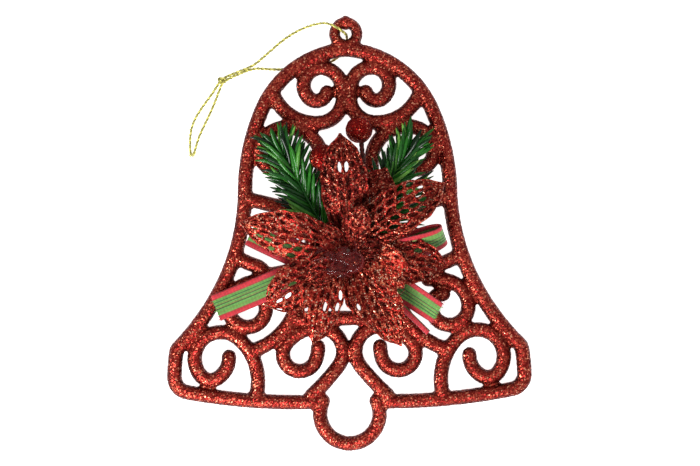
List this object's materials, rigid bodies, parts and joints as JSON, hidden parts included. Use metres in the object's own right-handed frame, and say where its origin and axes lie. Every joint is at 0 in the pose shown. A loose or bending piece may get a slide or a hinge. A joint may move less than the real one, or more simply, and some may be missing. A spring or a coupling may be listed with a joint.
{
  "type": "christmas bell ornament",
  "caption": "Flat openwork bell ornament in red glitter plastic with a poinsettia, pine sprigs, berries, a ribbon bow and a gold hanging thread.",
  "frame": {"origin": "middle of the footprint of the object without its hanging thread, on the surface that it lies on", "axes": "+Y towards the hanging eyelet, +X to the right seen from the front, +Z out of the decorated front face"},
  "size_m": [0.1254, 0.15, 0.0254],
  "materials": {
    "bell_glitter": "red glitter over moulded plastic",
    "petal_glitter": "red glitter over punched plastic film",
    "berry_glitter": "red glitter over foam",
    "pine_green": "glossy moulded",
    "ribbon_weave": "woven stripes, red edges and a green middle",
    "thread_gold": "twisted metallic thread",
    "stem_wire": "green coated wire",
    "lashing_wire": "dark red coated wire",
    "clear_glue": "translucent hot-melt"
  },
  "bodies": {
    "bell": {"bell_frame": "bell_glitter", "lashing_top": "lashing_wire", "lashing_left": "lashing_wire", "lashing_right": "lashing_wire", "glue_pad": "clear_glue", "ribbon_bow_centre": "ribbon_weave", "flower_pin": "stem_wire", "flower_whorl_lower": "petal_glitter", "flower_whorl_upper": "petal_glitter", "flower_whorl_inner": "petal_glitter", "flower_crown": "clear_glue", "pine_sprig_left": "pine_green", "pine_sprig_right": "pine_green", "pine_stem_left": "stem_wire", "pine_stem_right": "stem_wire", "berry_top": "berry_glitter", "berry_left": "berry_glitter", "berry_stem_top": "stem_wire", "berry_stem_left": "stem_wire", "ribbon_loop_left": "ribbon_weave", "ribbon_loop_right": "ribbon_weave", "ribbon_tail_left": "ribbon_weave", "ribbon_tail_right": "ribbon_weave", "ribbon_tail_under": "ribbon_weave"},
    "hanging_loop": {"hanging_cord_front": "thread_gold", "hanging_cord_back": "thread_gold", "cord_knot": "thread_gold"}
  },
  "joints": [
    {"name": "loop_swing", "type": "hinge", "parent": "bell", "child": "hanging_loop", "pos_m": [0, 0.0686, 0.0034], "axis": [0, 0, 1], "range_deg": [-110, 0]}
  ]
}
